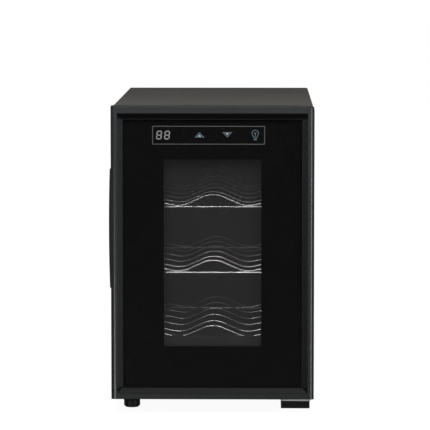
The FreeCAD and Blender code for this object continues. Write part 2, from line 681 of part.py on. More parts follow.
def turned_foot(name, stud_radius, stud_top):
    """A foot as one turned piece: rounded pad, wider collar and a stud."""
    part = body(name)
    profile = sketch(part, "XZ_Plane", "0")
    collar_top = "cabinet_bottom - part_gap"
    outline(profile, [("0", "0"), ("foot_pad_radius - 2", "0"), ("foot_pad_radius", "2.2"),
                      ("foot_pad_radius", "9"), ("foot_radius", "10.5"), ("foot_radius", collar_top),
                      (stud_radius, collar_top), (stud_radius, stud_top), ("0", stud_top)])
    turned = part.newObject("PartDesign::Revolution", name + "_turned")
    turned.Profile = profile
    turned.ReferenceAxis = (profile, ["V_Axis"])
    turned.Angle = 360
    doc.recompute()
    rims = [edge for edge in edges(turned, lambda b: near(b.ZLength, 0))
            if near(turned.Shape.getElement(edge).BoundBox.XMax, value("foot_radius"))]
    rounded = part.newObject("PartDesign::Fillet", name + "_fillet")
    rounded.Base = (turned, rims)
    rounded.Radius = 1
    return part


def feet():
    """Front left levelling foot in its nut, and two fixed feet at the rear."""
    place(turned_foot("levelling_foot", "foot_pin_radius", "34"), ("-foot_across", "foot_front", "0"))
    nut = rod("z", "8", ("-foot_across", "foot_front", "cabinet_bottom + steel"), "8")
    thread = rod("z", "foot_pin_radius + running_gap", ("-foot_across", "foot_front", "cabinet_bottom"), "12")
    keep(cut(nut, [thread], "foot_nut"), "foot_nut")
    pieces = []
    for across in ("-foot_across", "foot_across"):
        pad_low = cone("z", "foot_pad_radius - 2", "foot_pad_radius", (across, "foot_rear", "0"), "2.2")
        stem = rod("z", "foot_pad_radius", (across, "foot_rear", "2.2"), "7.8")
        collar = rod("z", "foot_radius", (across, "foot_rear", "10"), "cabinet_bottom - 10")
        stud = rod("z", "1.9", (across, "foot_rear", "cabinet_bottom"), "8")
        pieces.append(fuse([pad_low, stem, collar, stud]))
    group = doc.addObject("Part::Compound", "rear_feet")
    group.Links = pieces
    keep(group, "rear_feet")


def top_hinge():
    """Bent ear above the door, its pin, and the flush screws in the cabinet's face."""
    ear_top = "ear_low + hinge_sheet"
    ear = box(("hinge_across - 7", "hinge_across + 7"), ("hinge_back", "cabinet_front"), ("ear_low", ear_top))
    nose = rod("z", "7", ("hinge_across", "hinge_back", "ear_low"), "hinge_sheet")
    leg = box(("hinge_across - 7.5", "hinge_across + 9"), ("cabinet_front - hinge_sheet", "cabinet_front"),
              ("350", ear_top))
    rivet_hole = rod("z", "1.8", ("hinge_across", "hinge_back", "ear_low - 1"), "hinge_sheet + 2")
    sinks = [cone("y", "3.2", "1.5", (HINGE_SCREW_ACROSS, "cabinet_front - hinge_sheet", z), "hinge_sheet")
             for z in HINGE_SCREW_HEIGHTS]
    keep(cut(fuse([ear, nose, leg]), [rivet_hole] + sinks, "top_hinge_bracket"), "top_hinge_bracket")
    pin = rod("z", "top_pin_radius", ("hinge_across", "hinge_back", "367"), "ear_low - 367")
    rivet = rod("z", "1.8", ("hinge_across", "hinge_back", "ear_low"), "hinge_sheet")
    keep(fuse([pin, rivet], "top_hinge_pin"), "top_hinge_pin")
    flush = [fuse([cone("y", "3.2", "1.5", (HINGE_SCREW_ACROSS, "cabinet_front - hinge_sheet", z), "hinge_sheet"),
                   rod("y", "1.5", (HINGE_SCREW_ACROSS, "cabinet_front", z), "steel + 1")])
             for z in HINGE_SCREW_HEIGHTS]
    group = doc.addObject("Part::Compound", "top_hinge_screws")
    group.Links = flush
    keep(group, "top_hinge_screws")


def bottom_hinge():
    """Steel plate under the cabinet with the door's lower pin, a washer and the foot block."""
    part = body("bottom_hinge_plate")
    shape = sketch(part, "XY_Plane", "cabinet_bottom - hinge_sheet")
    left, right, nose = "84.6", "122.2", depth("7")
    outline(shape, [(left, depth("90")), (left, depth("10")), (f"{left} + 3", nose),
                    (f"{right} - 3", nose), (right, depth("10")), (right, depth("90"))])
    pad(part, shape, "hinge_sheet")
    holes = sketch(part, "XY_Plane", "cabinet_bottom + 1")
    circle(holes, ("hinge_across", depth("hinge_back")), "2")
    for across, back in PLATE_SCREWS:
        circle(holes, (across, depth(back)), "1.9")
    pocket(part, holes, "hinge_sheet + 2")
    pin = rod("z", "foot_pin_radius", ("hinge_across", "hinge_back", "cabinet_bottom"), "17")
    rivet = rod("z", "2", ("hinge_across", "hinge_back", "cabinet_bottom - hinge_sheet"), "hinge_sheet")
    keep(fuse([pin, rivet], "bottom_hinge_pin"), "bottom_hinge_pin")
    washer_top = "door_low - part_gap"
    washer = rod("z", "7", ("hinge_across", "hinge_back", "cabinet_bottom"), f"{washer_top} - cabinet_bottom")
    eye = rod("z", "foot_pin_radius", ("hinge_across", "hinge_back", "cabinet_bottom - 1"), "6")
    keep(cut(washer, [eye], "hinge_washer"), "hinge_washer")
    block = box(("85.4", "121.6"), ("50", "86"), ("0", "cabinet_bottom - hinge_sheet"))
    heads = [rod("z", "4", (x, y, "-1"), "8") for x, y in PLATE_SCREWS]
    shanks = [rod("z", "1.9", (x, y, "-1"), "20") for x, y in PLATE_SCREWS]
    keep(cut(block, heads + shanks, "hinge_foot_block"), "hinge_foot_block")
    screws("bottom_hinge_screws", [(x, y, "7") for x, y in PLATE_SCREWS], "-z", "3.6", "2.2", "1.9", "20")


# ---------------------------------------------------------------- racks

def wave_route():
    """Corner points of a waved wire, in X and in height above its bars."""
    end = value("wave_lift")
    right = [(value("trough_across"), end - value("wave_dip")), (66, end + 3.7), (75, end),
             (value("shelf_half - 1"), end)]
    return [(-x, z) for x, z in reversed(right)] + [(0, end + value("wave_peak"))] + right


def bent_wire(points, bend):
    """A path of straight runs joined by tangent arcs."""
    corners = [Vector(x, 0, z) for x, z in points]
    pieces, start = [], corners[0]
    for before, corner, after in zip(corners, corners[1:], corners[2:]):
        inward = (before - corner).normalize()
        outward = (after - corner).normalize()
        half_turn = (math.pi - inward.getAngle(outward)) / 2
        reach = min(bend * math.tan(half_turn), 0.45 * (before - corner).Length, 0.45 * (after - corner).Length)
        radius = reach / math.tan(half_turn)
        middle = (inward + outward).normalize() * (radius / math.cos(half_turn) - radius)
        arc_start, arc_end = corner + inward * reach, corner + outward * reach
        pieces.append(Part.LineSegment(start, arc_start).toShape())
        pieces.append(Part.Arc(arc_start, corner + middle, arc_end).toShape())
        start = arc_end
    pieces.append(Part.LineSegment(start, corners[-1]).toShape())
    return Part.Wire(pieces)


def wave_wire():
    """One waved wire as a solid, at the rack's own height."""
    path = bent_wire(wave_route(), value("wave_bend"))
    section = Part.Wire(Part.makeCircle(value("wave_radius"), Vector(value("1 - shelf_half"), 0, value("wave_lift")),
                                        Vector(1, 0, 0)))
    return path.makePipeShell([section], True, False)


def shelf(name, height):
    """A welded wire rack: four bars around it and waved wires that cradle the bottles."""
    centre = "shelf_half - bar_radius"
    rear = f"shelf_front + {WAVE_DEPTHS[-1]}"
    bars = [rod("y", "bar_radius", (across, "shelf_front", height), f"{WAVE_DEPTHS[-1]}")
            for across in (f"-({centre})", centre)]
    bars += [rod("x", "bar_radius", (f"-({centre})", back, height), f"2 * ({centre})")
             for back in ("shelf_front", rear)]
    corners = [doc.addObject("Part::Sphere", "corner") for _ in range(4)]
    spots = [(x, y, height) for x in (f"-({centre})", centre) for y in ("shelf_front", rear)]
    for ball, spot in zip(corners, spots):
        ball.setExpression("Radius", bind("bar_radius"))
        place(ball, spot)
    waves = []
    for extra in WAVE_DEPTHS:
        wire = doc.addObject("Part::Feature", "wave")
        wire.Shape = wave_wire()
        waves.append(place(wire, ("0", f"shelf_front + {extra}", height)))
    keep(fuse(bars + corners + waves, name), name)


# ---------------------------------------------------------------- door

DOOR = "overall_width / 2"
GLASS_BACK = "glass_front + glass_thick"
PRINT_BACK = "glass_front + glass_thick + print_thick"
SPACER_BACK = f"{PRINT_BACK} + spacer_depth"
PANE_BACK = f"{SPACER_BACK} + inner_glass_thick"
OPENING = (f"-({DOOR}) + frame_side", f"{DOOR} - frame_side", "door_low + frame_foot", "overall_height - frame_top")
GLASS = (f"{OPENING[0]} - glass_seat", f"{OPENING[1]} + glass_seat",
         f"{OPENING[2]} - glass_seat", f"{OPENING[3]} + glass_seat")
WINDOW = even("window_half", "window_low", "window_high")
PANE = even("window_half + pane_margin", "window_low - pane_margin", "window_high + pane_margin")
TRAY = even(f"{DOOR} - door_skin", "door_low + door_skin", "overall_height - door_skin")
BOSS_LEFT = "100"


def inset(amount):
    """The door's outline, moved inwards."""
    return (f"-({DOOR}) + {amount}", f"{DOOR} - ({amount})"), (f"door_low + {amount}", f"overall_height - ({amount})")


def door_frame():
    """Deep moulded frame: rounded outside, bevelled towards the glass, hollow behind."""
    part = doc.addObject("PartDesign::Body", "square_frame")
    front = across_sketch(part, "0")
    rectangle(front, *inset("0"))
    rectangle(front, (f"{OPENING[0]} - 1", f"{OPENING[1]} + 1"), (f"{OPENING[2]} - 1", f"{OPENING[3]} + 1"))
    face = pad(part, front, "glass_front", to_rear=True)
    at_front = value(depth("0"))
    half = value(DOOR)
    soften(part, face, "Chamfer",
           lambda b: near(b.YMin, at_front) and near(b.YMax, at_front)
           and b.XMax < half - 1 and b.XMin > 1 - half, Size="bevel_drop", Size2="bevel_width")
    lip = across_sketch(part, "bevel_drop")
    rectangle(lip, (f"{OPENING[0]} - 1.5", f"{OPENING[1]} + 1.5"), (f"{OPENING[2]} - 1.5", f"{OPENING[3]} + 1.5"))
    rectangle(lip, OPENING[:2], OPENING[2:])
    pad(part, lip, "glass_front - bevel_drop", to_rear=True)
    walls = across_sketch(part, "glass_front")
    rectangle(walls, *inset("0"))
    rectangle(walls, TRAY[:2], TRAY[2:])
    pad(part, walls, "door_depth - glass_front", to_rear=True)
    bosses(part)
    rounded = soften(part, part.Tip, "Fillet",
                     lambda b: near(b.YMin, at_front) and near(b.YMax, at_front) and near(b.XLength, 2 * half),
                     Radius="rail_round")
    part.Tip = rounded
    hinge_sockets(part)
    grip_opening(part)
    keep(cut(part, stile_corners(), "door_frame"), "door_frame")


def stile_corners():
    """What the rounding of both upright front edges takes away."""
    height = ("door_low - 1", "overall_height + 1")
    corners = []
    for side, start, end in (("-", f"-({DOOR}) - 1", f"stile_round - {DOOR}"),
                             ("", f"{DOOR} - stile_round", f"{DOOR} + 1")):
        round_off = rod("z", "stile_round", (f"{side}({DOOR} - stile_round)", "stile_round", "door_low - 2"),
                        "overall_height - door_low + 4")
        corners.append(cut(box((start, end), ("-1", "stile_round"), height), [round_off]))
    return corners


def bosses(part):
    """Solid corners at the hinge side that hold the bushes."""
    right = f"{DOOR} - door_skin"
    for low, high, rear in (("362", "overall_height - door_skin", "liner_front - 0.1"),
                            ("376.5", "overall_height - door_skin", "door_depth"),
                            ("door_low + door_skin", "44", "liner_front - 0.1")):
        block = across_sketch(part, PRINT_BACK)
        rectangle(block, (BOSS_LEFT, right), (low, high))
        pad(part, block, f"{rear} - ({PRINT_BACK})", to_rear=True)
    doc.recompute()


def hinge_sockets(part):
    """The recess for the upper ear and a round socket for each bush."""
    recess = sketch(part, "XY_Plane", "overall_height + 1")
    rectangle(recess, ("hinge_across - 8", f"{DOOR} + 1"), (depth("3.5"), depth("door_depth + 1")))
    pocket(part, recess, "overall_height + 1 - hinge_top_floor")
    upper = sketch(part, "XY_Plane", "hinge_top_floor + 0.5")
    circle(upper, ("hinge_across", depth("hinge_back")), "4")
    pocket(part, upper, "13.5")
    lower = sketch(part, "XY_Plane", "door_low - 1")
    circle(lower, ("hinge_across", depth("hinge_back")), "5")
    pocket(part, lower, "19", backwards=True)


def grip_opening(part):
    """The opening in the left wall that the grip fills."""
    hole = sketch(part, "YZ_Plane", f"-({DOOR}) - 1")
    rectangle(hole, (depth("10"), depth("liner_front")), ("grip_low", "grip_high"))
    pocket(part, hole, "door_skin + 2", backwards=True)


def glazing():
    """Outer glass, its black print, the spacer and the inner pane."""
    glass = box(GLASS[:2], ("glass_front", GLASS_BACK), GLASS[2:], "door_outer_glass")
    keep(glass, "door_outer_glass")
    keep(ring(GLASS, WINDOW, (GLASS_BACK, PRINT_BACK), "glass_print"), "glass_print")
    spacer_inner = even("window_half + 1.2", "window_low - 1.2", "window_high + 1.2")
    keep(ring(PANE, spacer_inner, (PRINT_BACK, SPACER_BACK), "window_spacer"), "window_spacer")
    keep(box(PANE[:2], (SPACER_BACK, PANE_BACK), PANE[2:], "door_inner_glass"), "door_inner_glass")


SLEEVE = even("window_half + 2", "window_low - 2", "window_high + 2")
HOUSING = ("-80", "72", "333", "363")


def door_foam():
    """Foam that fills the frame around the window, the bosses, the grip and the controls."""
    block = box(TRAY[:2], (PRINT_BACK, "liner_front"), TRAY[2:])
    far = "liner_front + 1"
    hollows = [box(PANE[:2], (f"{PRINT_BACK} - 1", PANE_BACK), PANE[2:]),
               box(SLEEVE[:2], (f"{PRINT_BACK} - 1", far), SLEEVE[2:]),
               box((BOSS_LEFT, DOOR), (f"{PRINT_BACK} - 1", far), ("362", "overall_height")),
               box((BOSS_LEFT, DOOR), (f"{PRINT_BACK} - 1", far), ("door_low", "44")),
               box((f"-({DOOR})", "-112"), (f"{PRINT_BACK} - 1", far), ("grip_low", "grip_high")),
               box(HOUSING[:2], (f"{PRINT_BACK} - 1", "19"), HOUSING[2:])]
    keep(cut(block, hollows, "door_foam"), "door_foam")


def door_liner():
    """Moulded back of the door with a sleeve around the window and a groove for the gasket."""
    plate = box(TRAY[:2], ("liner_front", "door_depth"), TRAY[2:])
    sleeve = box(SLEEVE[:2], (PANE_BACK, "door_depth"), SLEEVE[2:])
    opening = box(WINDOW[:2], (f"{PANE_BACK} - 1", "door_depth + 1"), WINDOW[2:])
    notch = box((BOSS_LEFT, DOOR), ("liner_front - 1", "door_depth + 1"), ("376.5", "overall_height"))
    groove = gasket_ring("4", "6.2", ("door_depth - 1.5", "door_depth + 1"), "groove")
    keep(cut(fuse([plate, sleeve]), [opening, notch, groove], "door_liner"), "door_liner")


def gasket_ring(start, end, back, name):
    """A frame between two distances inwards from the gasket's outer edge."""
    def edge(amount):
        return even(f"gasket_outer - {amount}", f"gasket_low + {amount}", f"gasket_high - ({amount})")
    return ring(edge(start), edge(end), back, name)


def gasket():
    """Soft magnetic gasket: band, anchoring rib and a closed channel with magnet strips."""
    band = gasket_ring("0", "gasket_wide", ("door_depth", "door_depth + gasket_depth"), "band")
    rib = gasket_ring("4.1", "6.1", ("door_depth - 1.5", "door_depth + 1"), "rib")
    channel = gasket_ring("2", "8", ("door_depth + 3.4", "door_depth + 6.6"), "channel")
    keep(cut(fuse([band, rib]), [channel], "door_gasket"), "door_gasket")
    back = ("door_depth + 3.6", "door_depth + 6.4")
    strips = [box((low, high), back, ("gasket_low + 12", "gasket_high - 12"))
              for low, high in (("2.3 - gasket_outer", "7.7 - gasket_outer"), ("gasket_outer - 7.7", "gasket_outer - 2.3"))]
    strips += [box(("12 - gasket_outer", "gasket_outer - 12"), back, span)
               for span in (("gasket_low + 2.3", "gasket_low + 7.7"), ("gasket_high - 7.7", "gasket_high - 2.3"))]
    group = doc.addObject("Part::Compound", "gasket_magnets")
    group.Links = strips
    keep(group, "gasket_magnets")


def controls():
    """Display board behind the glass, in a housing, with digits and touch springs."""
    shell = box(HOUSING[:2], (PRINT_BACK, "19"), HOUSING[2:])
    tray = box((f"{HOUSING[0]} + 1.5", f"{HOUSING[1]} - 1.5"), (f"{PRINT_BACK} - 1", "17.5"),
               (f"{HOUSING[2]} + 1.5", f"{HOUSING[3]} - 1.5"))
    keep(cut(shell, [tray], "display_housing"), "display_housing")
    keep(box(("-78", "70"), ("14", "15.6"), ("335", "361"), "display_board"), "display_board")
    digits = box(("-73", "-49"), (PRINT_BACK, "14"), ("340", "356"), "digit_display")
    keep(digits, "digit_display")
    springs = [cut(rod("y", "4", (x, PRINT_BACK, "348.2"), f"14 - ({PRINT_BACK})"),
                   [rod("y", "3.2", (x, GLASS_BACK, "348.2"), "5")]) for x in ("-16.2", "18.6", "53.3")]
    group = doc.addObject("Part::Compound", "touch_springs")
    group.Links = springs
    keep(group, "touch_springs")


def door_grip():
    """Grip set into the door's left side: a bowed lip at the front and a finger scoop behind it."""
    side, rise, middle = f"-({DOOR})", "(grip_proud - grip_end_proud)", "(grip_low + grip_high) / 2"
    bow = f"(((grip_high - grip_low) / 2)^2 + {rise}^2) / (2 * {rise})"
    body_block = box((side, "-112"), ("10", "liner_front"), ("grip_low", "grip_high"))
    blank = box((f"{side} - grip_proud - 1", f"{side} + 1"), ("10", "16"), ("grip_low", "grip_high"))
    drum = rod("y", bow, (f"{bow} + {side} - grip_proud", "9", middle), "8")
    lip = doc.addObject("Part::Common", "bowed_lip")
    lip.Base, lip.Tool = blank, drum
    scoop = box((f"{side} - 4", "-115"), ("16", "liner_front - 2"), ("grip_low + 4", "grip_high - 4"))
    keep(cut(fuse([body_block, lip]), [scoop], "door_grip"), "door_grip")


def bushes():
    """Plastic bushes that turn on the hinge pins."""
    upper = rod("z", "4", ("hinge_across", "hinge_back", "366"), "hinge_top_floor - 366")
    upper_bore = rod("z", "top_pin_radius + running_gap", ("hinge_across", "hinge_back", "365"), "20")
    keep(cut(upper, [upper_bore], "top_hinge_bush"), "top_hinge_bush")
    lower = rod("z", "5", ("hinge_across", "hinge_back", "door_low"), "18")
    lower_bore = rod("z", "foot_pin_radius + running_gap", ("hinge_across", "hinge_back", "door_low - 1"), "20")
    keep(cut(lower, [lower_bore], "bottom_hinge_bush"), "bottom_hinge_bush")


# ---------------------------------------------------------------- build, check and write

def build():
    """Every sub-part, cabinet first."""
    fill_sheet()
    cabinet_wrap()
    base_pan()
    back_panel()
    insulation_foam()
    inner_liner()
    lamp()
    cooling_module()
    duct_cover()
    rear_cover()
    screws("rear_cover_screws", [(x, "cabinet_back + 2", z) for x, z in COVER_SCREWS], "+y", "3.4", "2", "1.6", "2")
    power_supply()
    power_inlet()
    feet()
    top_hinge()
    bottom_hinge()
    for level, name in enumerate(SHELF_NAMES):
        shelf(name, f"shelf_foot + shelf_pitch * {level}")
    door_frame()
    glazing()
    door_foam()
    door_liner()
    gasket()
    controls()
    door_grip()
    bushes()
    doc.recompute()


def check():
    """Stop if any object failed or any sub-part's shape is missing or broken."""
    for item in doc.Objects:
        if any(word in item.State for word in ("Invalid", "Error")):
            raise RuntimeError(f"{item.Label} failed: {item.State}")
    for piece in finished:
        if piece.Shape.isNull() or not piece.Shape.isValid() or not piece.Shape.Solids:
            raise RuntimeError(f"{piece.Label} has no valid solid")


def write():
    """One STEP file for each sub-part, named after its node."""
    os.makedirs("parts", exist_ok=True)
    for piece in finished:
        piece.Shape.exportStep(f"parts/{piece.Label}.step")


build()
check()
write()
print(len(finished), "sub-parts")
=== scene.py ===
import math

import bmesh
import bpy
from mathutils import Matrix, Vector

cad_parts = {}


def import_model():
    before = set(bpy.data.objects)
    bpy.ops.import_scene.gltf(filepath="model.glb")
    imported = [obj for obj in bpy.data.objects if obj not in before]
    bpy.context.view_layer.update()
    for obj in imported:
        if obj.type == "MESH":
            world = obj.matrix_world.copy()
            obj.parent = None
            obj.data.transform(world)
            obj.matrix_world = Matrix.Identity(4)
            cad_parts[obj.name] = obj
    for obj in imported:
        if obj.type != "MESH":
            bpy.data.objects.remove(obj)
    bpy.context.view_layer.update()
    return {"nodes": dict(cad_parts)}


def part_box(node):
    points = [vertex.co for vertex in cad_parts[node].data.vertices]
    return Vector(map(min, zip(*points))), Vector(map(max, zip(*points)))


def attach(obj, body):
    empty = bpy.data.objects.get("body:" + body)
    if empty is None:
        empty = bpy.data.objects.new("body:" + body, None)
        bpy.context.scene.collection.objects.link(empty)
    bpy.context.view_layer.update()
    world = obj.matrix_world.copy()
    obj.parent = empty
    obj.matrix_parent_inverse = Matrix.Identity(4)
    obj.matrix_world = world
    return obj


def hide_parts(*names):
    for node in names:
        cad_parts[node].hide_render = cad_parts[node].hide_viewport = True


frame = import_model()

MM = 0.001
NODES = frame["nodes"]


# ---------------------------------------------------------------- materials

def shader(name):
    """A new Principled material: (material, node maker, linker, its shader)."""
    made = bpy.data.materials.new(name)
    made.use_nodes = True
    tree = made.node_tree
    return made, tree.nodes.new, tree.links.new, tree.nodes["Principled BSDF"]


def opened(made):
    """What shader returns, for a material that is already there, without the material."""
    tree = made.node_tree
    return tree.nodes.new, tree.links.new, tree.nodes["Principled BSDF"]


def spot(node, link, stretch=(1, 1, 1)):
    """Object coordinates in metres, stretched."""
    place = node("ShaderNodeTexCoord")
    mapped = node("ShaderNodeMapping")
    mapped.inputs["Scale"].default_value = stretch
    link(place.outputs["Object"], mapped.inputs["Vector"])
    return mapped.outputs["Vector"]


def noise(node, link, where, scale, detail=3.0, rough=0.5):
    made = node("ShaderNodeTexNoise")
    made.inputs["Scale"].default_value = scale
    made.inputs["Detail"].default_value = detail
    made.inputs["Roughness"].default_value = rough
    link(where, made.inputs["Vector"])
    return made.outputs["Fac"]


def blend_colours(node, link, fac, dark, light, low=0.3, high=0.7):
    """dark where fac is under low, light where it is over high."""
    ramp = node("ShaderNodeValToRGB")
    ramp.color_ramp.elements[0].position = low
    ramp.color_ramp.elements[1].position = high
    ramp.color_ramp.elements[0].color = (*dark, 1)
    ramp.color_ramp.elements[1].color = (*light, 1)
    link(fac, ramp.inputs["Fac"])
    return ramp.outputs["Color"]


def graded(node, link, value, start, end, low=0.0, high=1.0):
    """value, from start to end, as a number from low to high."""
    made = node("ShaderNodeMapRange")
    made.inputs["From Min"].default_value = start
    made.inputs["From Max"].default_value = end
    made.inputs["To Min"].default_value = low
    made.inputs["To Max"].default_value = high
    link(value, made.inputs["Value"])
    return made.outputs["Result"]


def between(node, link, fac, low, high):
    """A noise, which stays mostly from 0.25 to 0.75, as a number from low to high."""
    return graded(node, link, fac, 0.25, 0.75, low, high)


def bumped(node, link, height, depth, strength):
    made = node("ShaderNodeBump")
    made.inputs["Distance"].default_value = depth
    made.inputs["Strength"].default_value = strength
    link(height, made.inputs["Height"])
    return made.outputs["Normal"]


def finish(name, dark, light, rough, metal=0.0, specular=0.5, patch=30.0, grain=900.0,
           depth=0.00002, stretch=(1, 1, 1), swing=0.06, alpha=1.0):
    """A moulded, painted or metal surface: soft patches of colour and gloss over a fine grain."""
    made, node, link, out = shader(name)
    where = spot(node, link, stretch)
    patches = noise(node, link, where, patch, 4.0, 0.55)
    fine = noise(node, link, where, grain, 2.0, 0.6)
    link(blend_colours(node, link, patches, dark, light), out.inputs["Base Color"])
    link(between(node, link, fine, rough - swing, rough + swing), out.inputs["Roughness"])
    link(bumped(node, link, fine, depth, 0.6), out.inputs["Normal"])
    out.inputs["Metallic"].default_value = metal
    out.inputs["Specular IOR Level"].default_value = specular
    out.inputs["Alpha"].default_value = alpha
    return made


def cells(name, dark, light, rough, scale, depth, metal=0.0):
    """Foam bubbles or zinc spangle: every cell has its own tone and a slight edge."""
    made, node, link, out = shader(name)
    cell = node("ShaderNodeTexVoronoi")
    cell.inputs["Scale"].default_value = scale
    link(spot(node, link), cell.inputs["Vector"])
    tone = node("ShaderNodeSeparateColor")
    link(cell.outputs["Color"], tone.inputs["Color"])
    link(blend_colours(node, link, tone.outputs["Red"], dark, light, 0.0, 1.0),
         out.inputs["Base Color"])
    link(between(node, link, tone.outputs["Green"], rough - 0.07, rough + 0.07),
         out.inputs["Roughness"])
    link(bumped(node, link, cell.outputs["Distance"], depth, 0.5), out.inputs["Normal"])
    out.inputs["Metallic"].default_value = metal
    return made


def circuit_board(name):
    """Green lacquer over copper traces, with the traces a little proud."""
    made, node, link, out = shader(name)
    where = spot(node, link)
    trace = node("ShaderNodeTexVoronoi")
    trace.feature = "DISTANCE_TO_EDGE"
    trace.inputs["Scale"].default_value = 160.0
    trace.inputs["Randomness"].default_value = 0.75
    link(where, trace.inputs["Vector"])
    line = node("ShaderNodeMath")
    line.operation = "LESS_THAN"
    line.inputs[1].default_value = 0.09
    link(trace.outputs["Distance"], line.inputs[0])
    on_trace = line.outputs["Value"]
    link(blend_colours(node, link, on_trace, (0.012, 0.075, 0.03), (0.03, 0.17, 0.06)),
         out.inputs["Base Color"])
    fine = noise(node, link, where, 1500.0)
    link(between(node, link, fine, 0.22, 0.34), out.inputs["Roughness"])
    link(bumped(node, link, on_trace, 0.00004, 0.6), out.inputs["Normal"])
    return made


def windings(name):
    """Enamelled copper turns under yellow tape."""
    made, node, link, out = shader(name)
    turns = node("ShaderNodeTexWave")
    turns.bands_direction = "Z"
    turns.inputs["Scale"].default_value = 260.0
    turns.inputs["Distortion"].default_value = 0.4
    link(spot(node, link), turns.inputs["Vector"])
    band = turns.outputs["Fac"]
    link(blend_colours(node, link, band, (0.42, 0.24, 0.03), (0.78, 0.52, 0.09)),
         out.inputs["Base Color"])
    link(between(node, link, band, 0.28, 0.45), out.inputs["Roughness"])
    link(bumped(node, link, band, 0.0002, 0.7), out.inputs["Normal"])
    return made


def lit(name, dark, light, glow, strength):
    """A printed or lit mark: its tone varies a little, and it gives its own light."""
    made = finish(name, dark, light, 0.4, specular=0.2, patch=300.0, grain=3000.0, depth=0.00001)
    out = opened(made)[2]
    out.inputs["Emission Color"].default_value = (*glow, 1)
    out.inputs["Emission Strength"].default_value = strength
    return made


def grey(value, warm=0.0):
    """A neutral colour, slightly warmer where warm is positive."""
    return (value * (1 + warm), value, value * (1 - warm))


FRAME_GLOSS = 0.5

FINISHES = {
    "wrap_paint": finish("satin_paint", grey(0.034, 0.09), grey(0.040, 0.10), 0.60,
                         specular=0.14, patch=14.0, grain=1400.0, depth=0.00003),
    "pan_steel": finish("pan_paint", grey(0.012), grey(0.018), 0.6, patch=22.0, grain=900.0),
    "zinc_sheet": cells("galvanised_sheet", grey(0.42), grey(0.56), 0.38, 90.0, 0.00004, 1.0),
    "hinge_steel": finish("plated_steel", grey(0.66), grey(0.74), 0.40, 0.3,
                          stretch=(1, 12, 12), grain=500.0),
    "rack_wire": finish("polished_wire", grey(0.78), grey(0.86), 0.16, 0.85,
                        patch=60.0, grain=1800.0, depth=0.000001, swing=0.03),
    "screw_steel": finish("screw_plating", grey(0.46), grey(0.58), 0.32, 1.0,
                          patch=200.0, grain=2500.0),
    "door_black": finish("door_lacquer", grey(0.0135, -0.05), grey(0.0160, -0.05), 0.27,
                         specular=FRAME_GLOSS, patch=18.0, grain=1600.0, depth=0.00001,
                         swing=0.04),
    "black_plastic": finish("moulded_black", grey(0.004), grey(0.006), 0.52,
                            specular=0.2, patch=40.0, grain=2200.0),
    "liner_grey": finish("liner_plastic", grey(0.014), grey(0.018), 0.6,
                         specular=0.3, patch=16.0, grain=1800.0),
    "cream_foam": cells("rigid_foam", (0.66, 0.52, 0.26), (0.82, 0.68, 0.40), 0.85, 900.0, 0.0004),
    "door_glass": finish("outer_pane", grey(0.003), grey(0.004), 0.04, specular=0.10,
                         patch=8.0, grain=40.0, depth=0.000001, swing=0.01, alpha=0.10),
    "clear_glass": finish("inner_pane", grey(0.030), grey(0.034), 0.06, specular=0.2,
                          patch=8.0, grain=40.0, depth=0.000001, swing=0.01, alpha=0.22),
    "black_print": finish("black_enamel", grey(0.0016), grey(0.0022), 0.30, specular=0.08,
                          patch=30.0, grain=1200.0, depth=0.000005),
    "gasket_rubber": finish("soft_gasket", grey(0.020), grey(0.028), 0.68,
                            patch=60.0, grain=2600.0),
    "magnet_strip": finish("ferrite_strip", grey(0.05, 0.1), grey(0.07, 0.1), 0.75,
                           patch=120.0, grain=3000.0),
    "sink_aluminium": finish("extruded_aluminium", grey(0.34), grey(0.42), 0.40, 1.0,
                             stretch=(20, 20, 1), patch=20.0, grain=60.0),
    "spacer_aluminium": finish("anodised_spacer", grey(0.05), grey(0.07), 0.42, 1.0,
                               stretch=(1, 14, 1), patch=30.0, grain=300.0),
    "peltier_ceramic": finish("white_ceramic", grey(0.72), grey(0.80), 0.6,
                              patch=80.0, grain=2400.0),
    "board_green": circuit_board("circuit_board"),
    "coil_yellow": windings("coil_tape"),
    "can_black": finish("capacitor_sleeve", (0.012, 0.012, 0.03), (0.02, 0.02, 0.05), 0.3,
                        patch=150.0, grain=1200.0),
    "pin_brass": finish("brass_pins", (0.58, 0.42, 0.14), (0.72, 0.55, 0.22), 0.25, 1.0,
                        patch=200.0, grain=1500.0),
    "milky_lens": finish("milky_lens", grey(0.70), grey(0.78), 0.35, patch=90.0, grain=2600.0),
    "nylon_white": finish("white_nylon", grey(0.62, 0.02), grey(0.72, 0.02), 0.45,
                          patch=90.0, grain=2000.0),
    "digit_plastic": finish("display_face", grey(0.006), grey(0.009), 0.4,
                            patch=200.0, grain=2600.0),
}
# The panel's printed outline is no lamp: its glow is painted light.
MARK_GREY_PAINTED_GLOW = lit("printed_line_painted_glow", grey(0.05), grey(0.06), grey(0.05), 0.35)
MARK_BLUE = lit("lit_arrow_edge", (0.055, 0.07, 0.08), (0.07, 0.085, 0.095),
                (0.10, 0.128, 0.15), 0.34)
MARK_BRIGHT = lit("lit_arrow_core", (0.20, 0.24, 0.27), (0.24, 0.28, 0.31),
                  (0.28, 0.36, 0.42), 0.45)
DIGIT_GLOW = lit("lit_segment", grey(0.13, 0.01), grey(0.16, 0.01), grey(0.30, 0.01), 0.40)

# The frame's inner step, on the door: its half width, and its heights.
STEP_HALF, STEP_LOW, STEP_HIGH = 118 * MM, 26.2 * MM, 375 * MM
ZONE_EDGE = 0.3 * MM
# The rails' bevels end between these distances from the step's lower and upper line.
RAIL_NEAR, RAIL_FAR = 6.5 * MM, 8.5 * MM
# The stiles' bevels get this share of the dulling and painted shade that the rails' bevels get.
SIDE_SHARE = 0.55
# A thin band along the door's top edge, above the step's upper line.
CREST_LOW, CREST_HIGH = 6.7 * MM, 8.2 * MM
# The dulled zones' specular level, and the painted shade: the dark base colour that the bevelled
# step is mixed towards.
DULL_GLOSS, STEP_PAINTED_SHADE_TONE = 0.03, 0.0035


